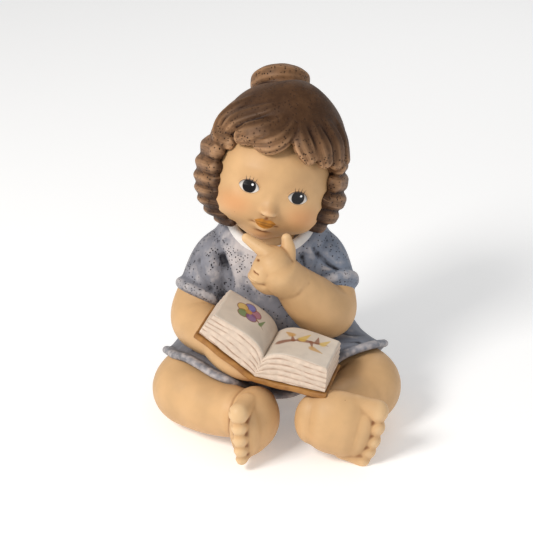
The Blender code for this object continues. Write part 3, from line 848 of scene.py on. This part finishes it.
comb(hair, STRANDS)
find_hollows(hair, rounds=18)

HAIR = (0.21, 0.105, 0.048)
HAIR_PALE_AND_HIGHLIGHT = (0.5, 0.285, 0.15)
HAIR_DARK = (0.02, 0.006, 0.002)
HAIR_CROWN = (0.036, 0.0125, 0.003)


def hair_finish():
    """Brown stain, nearly black on the crown, painted highlights on ridges, painted shade low, on her left,
    by the face, in hollows.
    """
    finish = Finish("stained_hair", 0.5, Specular_IOR_Level=0.22)
    hollow = finish.attribute("hollow")
    x, y, z = finish.frame(HEAD_AT, (HEAD_BACK, HEAD_LEAN, 0))
    crown = z.step(19, 33) * y.step(22, -14)
    lines = finish.root.node("CombineXYZ", X=finish.attribute("across"), Y=z * 0.06, Z=y * 0.06)
    strands = (lines.node("TexNoise", Vector=lines, Scale=1.3, Detail=3.0) - 0.5) * (1 - crown * 0.85) + 0.5
    cloud = (finish.noise(9) + finish.noise(2.5) - 0.5).step(0.3, 0.7)
    finish.colour = cloud.mix(HAIR, dimmed(HAIR, 0.66))
    # Painted shade: darker low down and towards her left side, away from the lamp.
    finish.lay(z.step(6, -24) * 0.45, dimmed(HAIR, 0.5))
    finish.lay(x.step(32, 44) * 0.5, dimmed(HAIR, 0.4))
    finish.lay(crown * (finish.noise(7) * 0.5 + 0.55), HAIR_CROWN)
    # Painted shade beside the face, in the gap where the rolls meet it.
    shade_beside_face = abs(x).step(37, 30) * y.step(-4, -13) * z.step(12, 5)
    finish.lay(shade_beside_face * 0.75, HAIR_DARK)
    # Painted highlight on the ridges, in patches.
    highlight_and_patches = (hollow * -1).step(0.0, 0.45) * (1 - crown * 0.8) * (1 - shade_beside_face)
    finish.lay(highlight_and_patches * (finish.noise(5) * 0.6 + 0.5), HAIR_PALE_AND_HIGHLIGHT)
    finish.lay(strands.step(0.55, 0.75) * 0.25, HAIR_PALE_AND_HIGHLIGHT)
    finish.lay(strands.step(0.46, 0.3) * 0.4, HAIR_DARK)
    # Painted shade in the hollows between the locks.
    finish.lay(hollow.step(0.02, 0.42) * 0.95, HAIR_DARK)
    clusters = finish.noise(8, 1).step(0.34, 0.46) * (1 - crown * 0.5)
    pricks = finish.holes(1.8, 1.05, 7.7) * clusters
    finish.lay(pricks * 0.92, HAIR_DARK)
    finish.set(Base_Color=finish.colour, Roughness=finish.noise(5) * 0.2 + 0.42)
    finish.bump(strands * 0.7 + finish.noise(0.5, 2) * 0.25 + finish.noise(2.5, 2) * 0.4 - pricks * 1.5, 0.3)
    return finish


hair.data.materials.append(hair_finish().material)
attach(hair, "root")
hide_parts("reading_girl")


# Dress
# A short-sleeved dress modelled in the clay: bodice, flared skirt with soft folds, and a roll at each cuff
# and round the hem. It is washed grey-blue, with painted highlights on the rolls, folds and chest and painted
# shade in the creases, on the skirt and on her left side, and the chest and sleeves are pricked with pin
# holes.
# The hem's line round her: x, y and z
HEM = [
    (10, -49.5, 17), (-6, -51.8, 18.6), (-14, -61, 27), (-22, -68.5, 35.5), (-31, -66, 38.5), (-39, -59, 40),
    (-47, -52, 41), (-54, -43.5, 38.5), (-57, -33, 35), (-60, -16, 27), (-57, 2, 15), (-48, 22, 7),
    (-28, 38, 4), (0, 43, 3), (28, 38, 4), (49, 22, 7), (59, 2, 17), (62.5, -15, 30),
    (62.5, -30, 38.5), (54.5, -44.5, 45), (43, -50.5, 44), (34, -51, 38), (24, -50, 26),
]
# Height, half width, depth to the front and to the back, and how far forward the ring's middle is
BODICE = [
    (53, 39, 39, 37, 0), (64, 37.5, 37, 35, 0), (78, 36, 33, 32, 1), (91, 34, 29, 28, 2), (99, 30, 26, 24, 4),
    (103.4, 26, 23, 21, 5.5), (105.4, 22.5, 20, 18, 6),
]
# Knots from shoulder to cuff: x, y, z, half width and half thickness
SLEEVES = {
    "right": [(-17, -3, 87, 15, 15), (-29, -6, 79, 16, 16), (-37, -13, 64, 15.4, 15.4)],
    "left": [(16, -3, 87, 15, 15), (26, -7, 80.5, 16, 16), (31.5, -18, 70, 15.4, 15.4)],
}
# Where the skirt's folds lie, as shares of the way round
FOLDS = (0.05, 0.16, 0.235, 0.31, 0.4, 0.48, 0.55, 0.63, 0.71, 0.79, 0.9)


def around_hem(count):
    """The hem's line, closed, read at even steps."""
    ring = along(HEM[-2:] + HEM + HEM[:3], 2000)
    start, stop = 2 * 2000 // (len(HEM) + 4), (len(HEM) + 2) * 2000 // (len(HEM) + 4)
    return ring[np.linspace(start, stop, count, endpoint=False).astype(int)]


def neck_dip(s):
    """How much lower the neck lies in front: 19 mm times (-s - 0.4)^1.3, with s the sine of the way round."""
    return 19 * np.clip(-s - 0.4, 0, 1) ** 1.3


def dress_grid(columns=300, rows=90):
    """Rings from the hem to the neck.

    Below the waist a ring is the hem gone a share of the way to the waist, and that share to the power 1.4
    upwards. Folds swell out of the skirt as bells across it, fading to the waist.
    """
    hem = around_hem(columns)
    angle = np.arctan2(hem[:, 1] + 6, hem[:, 0] * 0.8)
    c, s = np.cos(angle), np.sin(angle)
    bodice = along(BODICE, 40)
    depth = np.where(s < 0, bodice[:, 2:3], bodice[:, 3:4])
    upper = np.stack([bodice[:, 1:2] * c, depth * s - bodice[:, 4:5], bodice[:, 0:1] + 0 * c], -1)
    share = np.linspace(0, 1, rows - 40, endpoint=False)[:, None, None]
    upper[..., 2] -= neck_dip(s) * np.clip((bodice[:, 0:1] - 93) / 10, 0, 1)
    skirt = hem + (upper[0] - hem) * np.concatenate([share, share, share**1.4], -1)
    out = unit(np.stack([c, s, 0 * c], 1))
    place = np.linspace(0, 1, columns, endpoint=False)
    for k, at in enumerate(FOLDS):
        gap = (place + 0.012 * np.sin(4 * share[..., 0] + k) - at + 0.5) % 1 - 0.5
        size = (2.3 + 0.7 * math.sin(k * 2.1)) * (1 - share[..., 0]) ** 0.8
        skirt += (size * np.exp(-((gap / 0.013) ** 2)))[..., None] * out
    inner = hem * (0.5, 0.5, 0.5) + (0, -2, 4)
    return np.concatenate([inner[None], skirt, upper])


def ring_knots(centre, way, radius, half, count=13):
    """Knots of a ring of cloth that stands square to a way, each with its half width."""
    across = unit(np.cross(way, (0.0, 1.0, 0.0)))
    other = np.cross(way, across)
    turn = np.linspace(0, 2 * math.pi, count)[:, None]
    ring = centre + radius * (across * np.cos(turn) + other * np.sin(turn))
    return np.column_stack([ring, np.full(count, half), np.full(count, half)])


def cuff(line):
    """A rolled cuff round a sleeve's lower end."""
    end, before = np.array(line[-1][:3], float), np.array(line[-2][:3], float)
    way = unit(end - before)
    middle = end + way * 2.6
    return tube(ring_knots(middle, way, radius=14.4, half=3.3), 90, 20, around=middle)


hem = np.column_stack([around_hem(60), np.full(60, 2.7), np.full(60, 2.3)])
hem = np.concatenate([hem, hem[:1]])
masses = [closed(dress_grid()), tube(hem, 400, 20, up=(0, 0, 1))]
for line in SLEEVES.values():
    masses += [tube(line, 40, 44), cuff(line)]
dress = cast("dress", masses, grain=0.95, rounds=2)
# Creases pressed with a tool: half width, depth and the line, on the chest, at the armpits and on the sleeves
CREASES = [
    (3.4, 2.4, [(-28, -20, 87), (-25, -26, 80), (-25, -28, 73), (-27, -29, 64)]),
    (2.4, 1.3, [(-41, -17, 84), (-38, -22, 77), (-34, -25, 71)]),
    (3.0, 1.0, [(-18, -28, 92), (-17, -31, 84), (-17, -33, 76)]),
    (2.8, 2.4, [(18, -28, 90), (20, -29, 84), (21, -31, 78), (22, -33, 71)]),
    (2.2, 1.3, [(24, -22, 93), (29, -23, 88), (35, -24, 83)]),
    (2.0, 1.0, [(26, -22, 90), (32, -24, 84), (38, -24, 79)]),
    (2.2, 0.9, [(-11, -33, 80), (-5, -35, 75), (3, -37, 73)]),
    (2.2, 1.0, [(-13, -34, 74), (-11, -36, 67), (-8, -38, 61)]),
    (1.8, 1.2, [(30, -30, 52), (42, -36, 48), (54, -30, 46)]),
    (1.8, 1.2, [(26, -36, 48), (36, -42, 46), (48, -42, 46)]),
    (2.0, 1.4, [(-52, -24, 44), (-46, -36, 45), (-38, -44, 46)]),
    (2.0, 1.4, [(-44, -44, 43), (-36, -52, 43), (-27, -58, 41)]),
]
for width, deep, line in CREASES:
    press_line(dress, along(line, 9), width, deep)
flatten(dress)
find_hollows(dress, rounds=14)

BLUE = (0.25, 0.25, 0.285)
BLUE_SHADED_SIDE = (0.2, 0.24, 0.315)
BLUE_HIGHLIGHT = (0.6, 0.545, 0.53)
BLUE_DARK = (0.016, 0.015, 0.02)


def dress_finish():
    """Grey-blue wash; painted shade, bluer on her left, darker on the skirt and in creases; painted
    highlights on ridges and chest.
    """
    finish = Finish("washed_dress", 0.55, Specular_IOR_Level=0.25)
    hollow = finish.attribute("hollow")
    x, y, z = finish.frame((0, 0, 0))
    finish.colour = finish.noise(15).step(0.32, 0.68).mix(dimmed(BLUE, 0.7), BLUE)
    # Painted shade: bluer and darker on her left side, away from the lamp.
    finish.lay(x.step(-5, 35) * 0.8, BLUE_SHADED_SIDE)
    # Painted shade: the skirt darker below the waist.
    finish.lay(z.step(64, 46) * 0.5, dimmed(BLUE, 0.45))
    # The chest on her right gets a painted highlight where the light falls.
    chest = ellipse(x, z, (-12, 88), (20, 18)).step(1.2, 0.2) * y.step(-10, -22)
    patches = (finish.noise(5, 4) - 0.5) * (z.step(46, 56) * 0.75 + 0.35)
    streaks = finish.noise(4, 2).step(0.35, 0.62) * z.step(50, 44)
    # Painted highlight on the ridges and chest, with pale patches.
    highlight_and_patches = (hollow * -1 + patches + chest * 0.5 - streaks * 0.3).step(0.0, 0.65)
    finish.lay(highlight_and_patches * 0.8, BLUE_HIGHLIGHT)
    # Painted shade in the creases.
    finish.lay((hollow + (finish.noise(2.5, 3) - 0.5) * 0.5).step(0.05, 0.6), BLUE_DARK)
    clusters = finish.noise(9, 1).step(0.4, 0.48) * z.step(46, 56)
    pricks = finish.holes(1.65, 1.0, 1.3) * clusters * hollow.step(-0.5, -0.3)
    finish.lay(pricks * 0.93, BLUE_DARK)
    finish.set(Base_Color=finish.colour, Roughness=finish.noise(5) * 0.2 + 0.42)
    finish.bump(finish.noise(0.5, 2) * 0.3 + finish.noise(2.5, 2) * 0.6 - pricks * 1.5, 0.3)
    return finish


dress.data.materials.append(dress_finish().material)
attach(dress, "root")
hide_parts("reading_girl")


# Collar
# A narrow band of the same clay that stands up round the neck, painted white.
# Height over the neckline, half width and half depth
COLLAR_RINGS = [
    (-7, 26.2, 23.6),
    (-3, 26, 23.4),
    (0, 25.4, 22.9),
    (1.5, 24.2, 21.8),
    (1.4, 22.6, 20.2),
    (-3, 21.6, 19.4),
    (-9, 21, 19),
]


def collar_grid(columns=180):
    """A strip carried round the neck: half width and depth at each height over the dipping neckline."""
    ring = along(COLLAR_RINGS, 44)
    turn = np.linspace(0, 2 * math.pi, columns, endpoint=False)
    height = ring[:, 0:1] + 105.2 - neck_dip(np.sin(turn)) + 0.15 * np.sin(9 * turn)
    return np.stack([ring[:, 1:2] * np.cos(turn), ring[:, 2:3] * np.sin(turn) - 6.5, height], -1)


collar = mesh_piece("collar", [closed(collar_grid())])
collar.data.shade_smooth()
find_hollows(collar, rounds=20)
finish = Finish("white_collar", 0.5, Specular_IOR_Level=0.35)
finish.colour = (0.80, 0.77, 0.74)
# Painted shade in the collar's hollows.
finish.lay(finish.attribute("hollow").step(0.0, 0.4) * 0.7, (0.35, 0.3, 0.28))
finish.lay(finish.noise(3).step(0.35, 0.75) * 0.25, (0.62, 0.58, 0.55))
finish.set(Base_Color=finish.colour)
finish.bump(finish.noise(0.8, 2), 0.08)
collar.data.materials.append(finish.material)
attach(collar, "root")
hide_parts("reading_girl")


# Open book
# Part of the same casting: two thick blocks of pages that swell towards the spine and meet in a gutter, on a
# cover that shows as a thin brown band. The page edges are tooled in waving layers with brown stain in the
# grooves, and each page has a small coloured picture in the middle.
BOOK_AT = np.array([-9.7, -80.0, 43.0])
# Roll, pitch and swing of the book, and how steeply each half rises from the spine
BOOK_TURN = tuple(math.radians(angle) for angle in (3, 21, -16))
HALF_RISE = math.radians(15)
PAGE_WIDTH, BOOK_DEPTH = 38.7, 30.0
# The block's height beside the spine, how much the page swells over it, and how deep it dives into the gutter
PAGE_BLOCK, PAGE_CROWN, GUTTER = 14.8, 3.2, 9.0
COVER_THICK, COVER_UNDER, COVER_LIP = 2.2, 1.2, 1.1
LAYERS = 5


def turned(angles):
    """Rotation about Y, then X, then Z, as the book is rolled, pitched and swung round."""
    (cx, cy, cz), (sx, sy, sz) = np.cos(angles), np.sin(angles)
    about_x = np.array([[1, 0, 0], [0, cx, -sx], [0, sx, cx]])
    about_y = np.array([[cy, 0, sy], [0, 1, 0], [-sy, 0, cy]])
    about_z = np.array([[cz, -sz, 0], [sz, cz, 0], [0, 0, 1]])
    return about_z @ about_x @ about_y


def in_book(points):
    """Places in the book's frame, turned and moved to where the book is."""
    return points @ turned(BOOK_TURN).T + BOOK_AT


def box_shell(nx, ny, nz):
    """The six faces of a unit box as grids of quads, with every point's x, y, z between 0 and 1."""
    points, quads, start = [], [], 0
    for axis, (n, m) in enumerate(((ny, nz), (nz, nx), (nx, ny))):
        for end in (0, 1):
            p, q = np.meshgrid(np.linspace(0, 1, n + 1), np.linspace(0, 1, m + 1), indexing="ij")
            face = np.empty((n + 1, m + 1, 3))
            face[..., axis], face[..., (axis + 1) % 3], face[..., (axis + 2) % 3] = end, p, q
            cell = np.arange((n + 1) * (m + 1)).reshape(n + 1, m + 1) + start
            loop = (cell[:-1, :-1], cell[1:, :-1], cell[1:, 1:], cell[:-1, 1:])
            quads.append(np.stack(loop if end else loop[::-1], -1).reshape(-1, 4))
            points.append(face.reshape(-1, 3))
            start += face.size // 3
    return np.concatenate(points), np.concatenate(quads)


def page_top(x):
    """Height of the page over the cover at a share x from the spine: a crown that dives into the gutter."""
    return PAGE_BLOCK + PAGE_CROWN * np.sin(math.pi * x**0.6) - GUTTER * (1 - x) ** 6


def page_block(side):
    """A box whose top follows page_top and whose sides wave in layers, each layer a round swell.

    The sides go out by 0.55 mm times |sin(pi * layers * z + waves)|^0.6, and the corners are rounded. The
    last two values say what is a side and, with 1, where a groove lies between two layers.
    """
    cube, quads = box_shell(88, 60, 52)
    x, y, z = cube.T
    wall_y = np.where(y == 0, -1, np.where(y == 1, 1, 0))
    wall_x = np.where(x == 1, 1, 0)
    wave = 0.45 * np.sin(x * 6 + y * 4 + side + z * 3) + 0.16 * np.sin(x * 17 + z * 11 + side * 2)
    layer = np.abs(np.sin(math.pi * LAYERS * z + wave))
    swell = 0.55 * layer**0.6 - 0.35
    round_off = 1.1 * (z**14)
    across = x * PAGE_WIDTH + wall_x * (swell - round_off)
    depth = y * BOOK_DEPTH + wall_y * (swell - round_off)
    rim = np.clip((x - 0.97) / 0.03, 0, 1) ** 2 + np.abs(2 * y - 1) ** 30
    high = COVER_THICK + z * page_top(x) - (z == 1) * 0.9 * rim
    c, s = math.cos(HALF_RISE), math.sin(HALF_RISE)
    local = np.stack([side * (across * c - high * s), depth, across * s + high * c], 1)
    edge = (wall_y != 0) | (wall_x != 0)
    return local, quads if side > 0 else quads[:, ::-1], edge, edge * np.exp(-((layer / 0.34) ** 2))


def weld(piece, gap):
    """Joins points that lie closer than the gap, in mm."""
    shell = bmesh.new()
    shell.from_mesh(piece.data)
    bmesh.ops.remove_doubles(shell, verts=shell.verts, dist=gap * MM)
    shell.to_mesh(piece.data)
    shell.free()


blocks = [page_block(side) for side in (-1, 1)]
pages = mesh_piece("book_pages", [(in_book(points), quads) for points, quads, _, _ in blocks])
keep_value(pages, "edge", np.concatenate([edge for _, _, edge, _ in blocks]).astype(float))
keep_value(pages, "groove", np.concatenate([groove for _, _, _, groove in blocks]))
pages.data.shade_smooth()


PAPER = (0.66, 0.57, 0.475)
PAPER_EDGE = (0.62, 0.50, 0.40)
EDGE_STAIN = (0.24, 0.095, 0.04)


def book_axes_euler():
    """The book's turn as one XYZ Euler turn, for the materials."""
    return tuple(Matrix(turned(BOOK_TURN).tolist()).to_euler())


INKS = {
    "mauve": (0.36, 0.12, 0.19),
    "blue": (0.13, 0.14, 0.42),
    "yellow": (0.60, 0.40, 0.09),
    "green": (0.11, 0.20, 0.06),
    "purple": (0.20, 0.09, 0.24),
    "brown": (0.22, 0.075, 0.035),
    "ochre": (0.50, 0.27, 0.07),
}
# The left page's flower, with its petals by ink and its stems, and the right page's branch. A stroke goes
# from root to tip, with its width last.
FLOWER_AT, PETALS = (-18, 19.5), ("mauve", "blue", "yellow", "green", "purple")
STEMS = [("brown", (-12, 17), (-6.5, 13.5), 0.6), ("green", (-9.5, 15.5), (-8, 21), 1.4)]
BRANCH = [
    ("brown", (4, 13), (14, 17.5), 2.3),
    ("brown", (13, 17.2), (28, 20.5), 2.0),
    ("brown", (10, 15.5), (8, 21), 1.4),
    ("brown", (19, 18.6), (21, 13.2), 1.4),
    ("ochre", (8, 21), (4.5, 24), 2.3),
    ("yellow", (14, 18.5), (17, 25), 2.5),
    ("ochre", (21, 13.2), (27, 11.8), 2.3),
    ("yellow", (25, 20), (28, 25.5), 2.2),
    ("brown", (22, 19.8), (21.5, 25), 1.8),
]


def pages_finish():
    """Off-white pages with the two pictures, and tooled edges with brown stain in their grooves."""
    finish = Finish("painted_pages", 0.38, Specular_IOR_Level=0.4)
    edge = finish.attribute("edge").step(0.3, 0.9)
    x, y, _ = finish.frame(BOOK_AT, book_axes_euler())
    finish.colour = finish.noise(9).step(0.3, 0.75).mix(PAPER, dimmed(PAPER, 0.86))
    for k, ink in enumerate(PETALS):
        angle = math.radians(72 * k + 20)
        middle = (FLOWER_AT[0] + 4.2 * math.cos(angle), FLOWER_AT[1] + 4.2 * math.sin(angle))
        petal = ellipse(x, y, middle, (3.2, 3.2))
        finish.lay(petal.step(1.04, 0.94) * 0.85, INKS[ink])
        finish.lay(abs(petal - 1).step(0.14, 0.04) * 0.8, INKS["brown"])
    finish.lay(ellipse(x, y, FLOWER_AT, (2.0, 2.0)).step(1.05, 0.9) * 0.9, INKS["ochre"])
    for ink, start, end, width in STEMS + BRANCH:
        finish.lay(stroke(x, y, start, end, width) * 0.85, INKS[ink])
    edges = finish.noise(3).step(0.3, 0.75).mix(PAPER_EDGE, dimmed(PAPER_EDGE, 1.2))
    stain = finish.attribute("groove") * finish.noise(6, 4).step(0.36, 0.6)
    finish.lay(edge, (stain * 0.75).mix(edges, EDGE_STAIN))
    finish.set(Base_Color=finish.colour)
    finish.bump(finish.noise(0.6, 2), 0.05)
    return finish


pages.data.materials.append(pages_finish().material)
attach(pages, "root")
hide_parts("reading_girl")


def cover_shell():
    """A box bent up at the spine into two wings, with round edges."""
    cube, quads = box_shell(120, 40, 8)
    x, y, z = cube.T
    across = (2 * x - 1) * (PAGE_WIDTH + COVER_LIP)
    rim = 0.6 * (np.abs(2 * z - 1) ** 4)
    across = across - np.sign(2 * x - 1) * rim * ((x == 0) | (x == 1))
    depth = y * BOOK_DEPTH + (2 * y - 1) * (COVER_LIP - rim * ((y == 0) | (y == 1)))
    high = z * (COVER_THICK + COVER_UNDER) - COVER_UNDER + 0.25 * np.sin(across * 0.35)
    rise = np.sqrt(across**2 + 9.0) - 3.0
    c, s = math.cos(HALF_RISE), math.sin(HALF_RISE)
    return np.stack([across * c, depth, rise * s + high * c], 1), quads


cover_points, cover_quads = cover_shell()
cover = mesh_piece("book_cover", [(in_book(cover_points), cover_quads)])
weld(cover, 0.01)
cover.data.shade_smooth()
finish = Finish("brown_cover", 0.45, Specular_IOR_Level=0.35)
ochre = finish.noise(5).step(0.3, 0.7).mix((0.40, 0.19, 0.05), (0.27, 0.115, 0.03))
finish.set(Base_Color=ochre)
finish.bump(finish.noise(0.8, 2), 0.08)
cover.data.materials.append(finish.material)
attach(cover, "root")
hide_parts("reading_girl")


# Stage
# A plain pale floor and soft studio light, and the camera where the photograph was taken: straight in front,
# 25 degrees above the floor.
floor_mesh = bpy.data.meshes.new("floor")
floor_mesh.from_pydata([(-4, -4, 0), (4, -4, 0), (4, 4, 0), (-4, 4, 0)], [], [(0, 1, 2, 3)])
floor = bpy.data.objects.new("floor", floor_mesh)
bpy.context.scene.collection.objects.link(floor)
finish = Finish("pale_floor", 0.8)
finish.set(Base_Color=(0.9, 0.9, 0.9), Emission_Color=(1, 1, 1), Emission_Strength=0.25)
floor_mesh.materials.append(finish.material)

LOOK_AT = Vector((-0.003, -0.020, 0.0814))
CAMERA_HEIGHT = math.radians(25)
CAMERA_AWAY = 0.9
# The lens fitted to the photograph: 1620 pixels for a picture 533 pixels wide, on a sensor of 36 mm
SENSOR = 36
FOCAL = 1620 / 533 * SENSOR


def aim(thing, target):
    """Turns a camera or a lamp so that it looks at the target."""
    thing.rotation_mode = "QUATERNION"
    thing.rotation_quaternion = (target - thing.location).to_track_quat("-Z", "Y")


camera = bpy.data.objects.new("camera", bpy.data.cameras.new("camera"))
bpy.context.scene.collection.objects.link(camera)
camera.data.sensor_width = SENSOR
camera.data.lens = FOCAL
camera.location = LOOK_AT + CAMERA_AWAY * Vector((0, -math.cos(CAMERA_HEIGHT), math.sin(CAMERA_HEIGHT)))
aim(camera, LOOK_AT)
bpy.context.scene.camera = camera

# Each lamp's place, power, size and tint
LIGHTS = {
    "key": ((-0.66, -0.66, 0.85), 10.5, 0.35, (1.0, 0.97, 0.93)),
    "fill": ((0.9, -0.5, 0.3), 1.2, 0.7, (0.93, 0.96, 1.0)),
    "rim": ((0.3, 0.8, 0.7), 1.0, 0.5, (1.0, 1.0, 1.0)),
}
for name, (place, power, size, tint) in LIGHTS.items():
    lamp = bpy.data.objects.new(name, bpy.data.lights.new(name, "AREA"))
    lamp.data.energy, lamp.data.size, lamp.data.color = power, size, tint
    lamp.location = place
    aim(lamp, Vector((0, -0.02, 0.09)))
    bpy.context.scene.collection.objects.link(lamp)
world = bpy.data.worlds.new("studio")
world.use_nodes = True
world.node_tree.nodes["Background"].inputs["Color"].default_value = (1, 1, 1, 1)
world.node_tree.nodes["Background"].inputs["Strength"].default_value = 0.42
bpy.context.scene.world = world
bpy.context.scene.view_settings.view_transform = "Standard"
